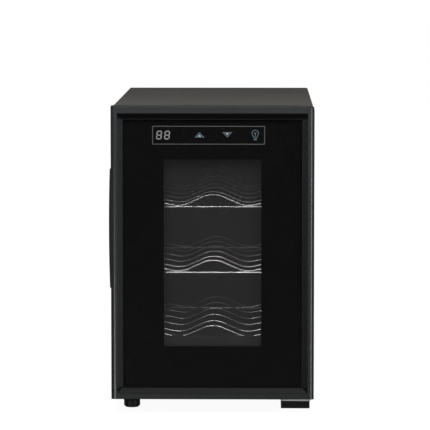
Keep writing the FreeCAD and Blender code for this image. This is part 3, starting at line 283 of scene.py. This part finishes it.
def dull_and_painted_shade_step(made):
    """Less gloss and a painted shade (a darker base colour) on the frame's bevelled inner step, and
    less gloss on its crest.

    The specular level varies over the surface. The export drops it, as it drops any linked one.
    """
    node, link, out = opened(made)
    place = node("ShaderNodeSeparateXYZ")
    link(spot(node, link), place.inputs["Vector"])
    sideways, height = place.outputs["X"], place.outputs["Z"]

    def ramp(value, start, end, low=0.0, high=1.0):
        return graded(node, link, value, start, end, low, high)

    def combine(operation, first, second=None):
        maths = node("ShaderNodeMath")
        maths.operation = operation
        link(first, maths.inputs[0])
        if second is not None:
            link(second, maths.inputs[1])
        return maths.outputs["Value"]

    across = ramp(combine("ABSOLUTE", sideways), STEP_HALF + ZONE_EDGE, STEP_HALF - ZONE_EDGE)
    over_foot = ramp(height, STEP_LOW - ZONE_EDGE, STEP_LOW + ZONE_EDGE)
    under_head = ramp(height, STEP_HIGH + ZONE_EDGE, STEP_HIGH - ZONE_EDGE)
    rails = combine("MAXIMUM", ramp(height, STEP_LOW + RAIL_FAR, STEP_LOW + RAIL_NEAR),
                    ramp(height, STEP_HIGH - RAIL_FAR, STEP_HIGH - RAIL_NEAR))
    step = combine("MINIMUM", across, combine("MINIMUM", over_foot, under_head))
    step = combine("MULTIPLY", step, ramp(rails, 0.0, 1.0, SIDE_SHARE, 1.0))
    crest_low, crest_high = STEP_HIGH + CREST_LOW, STEP_HIGH + CREST_HIGH
    crest = combine("MINIMUM", ramp(height, crest_low, crest_low + ZONE_EDGE),
                    ramp(height, crest_high, crest_high - ZONE_EDGE))
    gloss = ramp(combine("MAXIMUM", step, crest), 0.0, 1.0, FRAME_GLOSS, DULL_GLOSS)
    link(gloss, out.inputs["Specular IOR Level"])

    # Painted shade: the step's base colour is mixed towards a dark tone.
    tone = node("ShaderNodeMix")
    tone.data_type = "RGBA"
    colour = out.inputs["Base Color"].links[0].from_socket
    link(step, tone.inputs["Factor"])
    link(colour, tone.inputs["A"])
    tone.inputs["B"].default_value = (*grey(STEP_PAINTED_SHADE_TONE), 1)
    link(tone.outputs["Result"], out.inputs["Base Color"])


def painted_glow_by_height(made, low, high, at_low, at_high):
    """A faint white painted light on a surface that is no lamp, graded from one height to another.
    """
    node, link, out = opened(made)
    place = node("ShaderNodeSeparateXYZ")
    link(spot(node, link), place.inputs["Vector"])
    link(graded(node, link, place.outputs["Z"], low, high, at_low, at_high),
         out.inputs["Emission Strength"])
    out.inputs["Emission Color"].default_value = (1, 1, 1, 1)


# Painted light on the inner pane: a glow that is brighter towards the bottom.
painted_glow_by_height(FINISHES["clear_glass"], 80 * MM, 320 * MM, 0.030, 0.022)
# Painted light on the black print: a glow that is brighter towards the bottom.
painted_glow_by_height(FINISHES["black_print"], 30 * MM, 370 * MM, 0.0030, 0.0001)
dull_and_painted_shade_step(FINISHES["door_black"])

for cad in NODES.values():
    for place in cad.material_slots:
        place.material = FINISHES[place.material.name.split(".")[0]]
NODES["top_hinge_bracket"].material_slots[0].material = finish(
    "black_zinc", grey(0.02), grey(0.03), 0.45, 0.6)


# ------------------------------------------------------------------- pieces

def add(name, shape, material, body):
    """Turns a filled bmesh into an object, which rides on a body if one is given."""
    mesh = bpy.data.meshes.new(name)
    bmesh.ops.recalc_face_normals(shape, faces=shape.faces[:])
    shape.to_mesh(mesh)
    shape.free()
    piece = bpy.data.objects.new(name, mesh)
    bpy.context.scene.collection.objects.link(piece)
    mesh.materials.append(material)
    if body:
        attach(piece, body)
    return piece


print_low, print_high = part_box("glass_print")


def plate(name, loops, material):
    """A layer of the door as thick as its print, from closed outlines in millimetres (x, z).

    A loop in a loop is a hole.
    """
    bm = bmesh.new()
    edges = []
    for loop in loops:
        ring = [bm.verts.new((x * MM, print_low.y, z * MM)) for x, z in loop]
        edges += [bm.edges.new(pair) for pair in zip(ring, ring[1:] + ring[:1])]
    bmesh.ops.triangle_fill(bm, edges=edges, use_beauty=True, normal=(0, -1, 0))
    made = bmesh.ops.extrude_face_region(bm, geom=bm.faces[:])["geom"]
    bmesh.ops.translate(bm, verts=[v for v in made if isinstance(v, bmesh.types.BMVert)],
                        vec=(0, print_high.y - print_low.y, 0))
    return add(name, bm, material, "door")


def block(left, right, low, high, corner=0.0, steps=6):
    """A rectangle's outline, with round corners if corner isn't 0."""
    if not corner:
        return [(left, low), (right, low), (right, high), (left, high)]
    points = []
    for x, z, start in ((right - corner, low + corner, -90), (right - corner, high - corner, 0),
                        (left + corner, high - corner, 90), (left + corner, low + corner, 180)):
        for step in range(steps + 1):
            angle = math.radians(start + 90 * step / steps)
            points.append((x + corner * math.cos(angle), z + corner * math.sin(angle)))
    return points


def moved(loop, x, z, lean=0.0):
    """The outline moved by (x, z), after leaning it over."""
    return [(px + lean * pz + x, pz + z) for px, pz in loop]


# Sizes and places of the print, in millimetres on the door.
WINDOW = (-60.4, 60.4, 84.3, 317.2)
PANEL = (-74.6, 64.8, 335.8, 358.8)
PANEL_LINE, PANEL_CORNER, PANEL_INNER_CORNER = 0.95, 0.6, 0.3
DIGIT_WIDE, DIGIT_TALL, DIGIT_STROKE, DIGIT_GAP = 6.7, 10.6, 1.25, 0.18
DIGIT_PITCH, DIGIT_LEAN, DIGITS_LEFT, DIGITS_LOW = 9.9, 0.1, -70.0, 342.1
ARROW_WIDE, ARROW_TALL, ARROW_LOW, UP_X, DOWN_X = 12.1, 6.6, 344.5, -16.2, 18.2
HOLE_WIDE, HOLE_TALL, HOLE_LOW = ARROW_WIDE - 4.6, ARROW_TALL - 2.5, 1.0
CORE_WIDE, CORE_TALL, CORE_LOW = 4.0, 2.6, 1.2
LAMP_X, LAMP_Z = 52.8, 349.6
# A bulb: the radius of its head, the half width of its neck, and the neck's end below the head.
BULB_OUTSIDE, BULB_INSIDE = (4.5, 2.2, -6.0), (3.6, 1.4, -5.4)
BULB_CAP, BULB_CAP_CORNER = (-2.0, 2.0, -8.2, -6.6), 0.5
FILAMENT = [(-0.4, -5.0), (0.4, -5.0), (0.4, -1.4), (1.5, 1.1), (0.8, 1.4), (0.0, -0.3),
            (-0.8, 1.4), (-1.5, 1.1), (-0.4, -1.4)]


def digit():
    """The seven segments of one digit, each a bar with pointed ends."""
    half = DIGIT_STROKE / 2
    left, right = half, DIGIT_WIDE - half
    low, middle, high = half, DIGIT_TALL / 2, DIGIT_TALL - half

    def upright(x, z0, z1):
        z0, z1 = z0 + DIGIT_GAP, z1 - DIGIT_GAP
        return [(x, z0), (x + half, z0 + half), (x + half, z1 - half), (x, z1),
                (x - half, z1 - half), (x - half, z0 + half)]

    def level(z):
        x0, x1 = left + DIGIT_GAP, right - DIGIT_GAP
        return [(x0, z), (x0 + half, z - half), (x1 - half, z - half), (x1, z),
                (x1 - half, z + half), (x0 + half, z + half)]

    return [level(z) for z in (low, middle, high)] + [
        upright(x, z0, z1) for x in (left, right) for z0, z1 in ((low, middle), (middle, high))]


def arrow(x, down=False):
    """Outline, hole and core of a touch arrow that points up or down."""
    loops = [[(-wide / 2, low), (wide / 2, low), (0.0, low + tall)] for wide, tall, low in (
        (ARROW_WIDE, ARROW_TALL, 0.0), (HOLE_WIDE, HOLE_TALL, HOLE_LOW),
        (CORE_WIDE, CORE_TALL, CORE_LOW))]
    if down:
        loops = [[(px, ARROW_TALL - pz) for px, pz in reversed(loop)] for loop in loops]
    return [moved(loop, x, ARROW_LOW) for loop in loops]


def bulb(radius, neck, foot):
    """A lamp's outline: a round head that narrows to its neck."""
    points = []
    for step in range(25):
        angle = math.radians(-45 + 270 * step / 24)
        points.append((radius * math.cos(angle), radius * math.sin(angle)))
    return moved([(neck, foot), *points, (-neck, foot)], LAMP_X, LAMP_Z)


left, right, low, high = PANEL
panel = [block(*PANEL, corner=PANEL_CORNER),
         block(left + PANEL_LINE, right - PANEL_LINE, low + PANEL_LINE, high - PANEL_LINE,
               corner=PANEL_INNER_CORNER)]
digits = [moved(bar, DIGITS_LEFT + place * DIGIT_PITCH, DIGITS_LOW, DIGIT_LEAN)
          for place in range(2) for bar in digit()]
up_edge, up_hole, up_core = arrow(UP_X)
down_edge, down_hole, down_core = arrow(DOWN_X, down=True)
lamp = [bulb(*BULB_OUTSIDE), bulb(*BULB_INSIDE)]
lamp_foot = moved(block(*BULB_CAP, BULB_CAP_CORNER), LAMP_X, LAMP_Z)
filament = moved(FILAMENT, LAMP_X, LAMP_Z)

glass = block(print_low.x / MM, print_high.x / MM, print_low.z / MM, print_high.z / MM)
mask = plate("print_mask", [glass, block(*WINDOW), *panel, *digits, up_edge, up_hole, up_core,
                            down_edge, down_hole, down_core, *lamp, filament, lamp_foot],
             FINISHES["black_print"])
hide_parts("glass_print")

for name, loops, material in (("panel_outline", panel, MARK_GREY_PAINTED_GLOW),
                              ("digit_segments", digits, DIGIT_GLOW),
                              ("up_mark", [up_edge, up_hole], MARK_BLUE),
                              ("down_mark", [down_edge, down_hole], MARK_BLUE),
                              ("lamp_mark", lamp, MARK_BLUE),
                              ("lamp_mark_foot", [lamp_foot], MARK_BLUE),
                              ("up_mark_core", [up_core], MARK_BRIGHT),
                              ("down_mark_core", [down_core], MARK_BRIGHT),
                              ("lamp_filament", [filament], MARK_BLUE)):
    plate(name, loops, material)


# -------------------------------------------------------------------- stage

FLOOR_RINGS, FLOOR_SIDES = (0.4, 1.5, 6.0, 20.0, 70.0), 64
# The floor's own light grows from the first strength to the second between these distances.
GLOW_REACH, GLOW_STRENGTH = (0.4, 2.5), (0.95, 1.0)
DIM_SKY, WHITE_SKY = 0.09, 1.0

# Place, aim, width, height and radiance of each softbox.
SOFTBOXES = {
    "key": ((0.05, -0.80, 0.88), (0.0, -0.25, 0.25), 0.9, 0.5, 10.0),
    "front": ((0.10, -2.40, 1.05), (0.0, -0.25, 0.22), 1.4, 0.6, 1.8),
    "left_strip": ((-0.88, -1.68, -0.38), (-0.12, -0.25, -0.10), 0.36, 0.7, 11.0),
    "right_strip": ((1.25, -1.25, 0.05), (0.12, -0.25, 0.20), 0.28, 1.4, 8.5),
    "top": ((0.0, 0.6, 2.0), (0.0, 0.0, 0.38), 1.6, 1.2, 2.0),
    "back_left": ((-1.6, 1.7, 1.2), (0.0, 0.0, 0.2), 1.0, 1.2, 4.0),
    "back_right": ((1.7, 1.6, 1.2), (0.0, 0.0, 0.2), 1.0, 1.2, 4.0),
}
CAMERA_PLACE, CAMERA_AIM = (0.0625, -3.7525, 0.5735), (0.0032, -0.2525, 0.2492)
SENSOR_MM, LENS_MM = 36.0, 238.2


def stand(name, data, place, aim):
    """A lamp or a camera in the scene, turned to face a point."""
    made = bpy.data.objects.new(name, data)
    made.location = place
    made.rotation_mode = "QUATERNION"
    made.rotation_quaternion = (Vector(aim) - Vector(place)).to_track_quat("-Z", "Y")
    bpy.context.scene.collection.objects.link(made)
    return made


def floor():
    """A wide pale floor that gives its own light, with its edge out of sight."""
    bm = bmesh.new()
    turns = [turn * math.tau / FLOOR_SIDES for turn in range(FLOOR_SIDES)]
    rings = [[bm.verts.new((radius * math.cos(turn), radius * math.sin(turn), 0))
              for turn in turns] for radius in FLOOR_RINGS]
    bm.faces.new(rings[0])
    for inner, outer in zip(rings, rings[1:]):
        for i in range(FLOOR_SIDES):
            j = (i + 1) % FLOOR_SIDES
            bm.faces.new((inner[i], inner[j], outer[j], outer[i]))
    pale, node, link, out = shader("pale_floor")
    where = spot(node, link)
    link(blend_colours(node, link, noise(node, link, where, 6.0), grey(0.09), grey(0.10)),
         out.inputs["Base Color"])
    reach = node("ShaderNodeVectorMath")
    reach.operation = "LENGTH"
    link(where, reach.inputs[0])
    link(graded(node, link, reach.outputs["Value"], *GLOW_REACH, *GLOW_STRENGTH),
         out.inputs["Emission Strength"])
    out.inputs["Emission Color"].default_value = (1, 1, 1, 1)
    out.inputs["Roughness"].default_value = 0.9
    out.inputs["Specular IOR Level"].default_value = 0.0
    made = add("floor", bm, pale, None)
    made.visible_glossy = False
    made.visible_diffuse = False
    made.visible_shadow = False


def world():
    """White where the camera sees past the floor, and dim grey for everything else."""
    sky = bpy.data.worlds.new("studio")
    bpy.context.scene.world = sky
    sky.use_nodes = True
    node, link = sky.node_tree.nodes.new, sky.node_tree.links.new
    background = sky.node_tree.nodes["Background"]
    seen = node("ShaderNodeLightPath").outputs["Is Camera Ray"]
    link(graded(node, link, seen, 0.0, 1.0, DIM_SKY, WHITE_SKY), background.inputs["Strength"])
    background.inputs["Color"].default_value = (1, 1, 1, 1)


def softbox(name, place, aim, wide, tall, radiance):
    """A rectangular area light of even brightness, facing a point."""
    lamp = bpy.data.lights.new(name, "AREA")
    lamp.shape = "RECTANGLE"
    lamp.size, lamp.size_y = wide, tall
    lamp.energy = radiance * wide * tall * math.pi
    stand(name, lamp, place, aim).visible_camera = False


floor()
world()
for name, settings in SOFTBOXES.items():
    softbox(name, *settings)

lens = bpy.data.cameras.new("camera")
lens.sensor_width = SENSOR_MM
lens.lens = LENS_MM
bpy.context.scene.camera = stand("camera", lens, CAMERA_PLACE, CAMERA_AIM)
bpy.context.scene.view_settings.view_transform = "Standard"
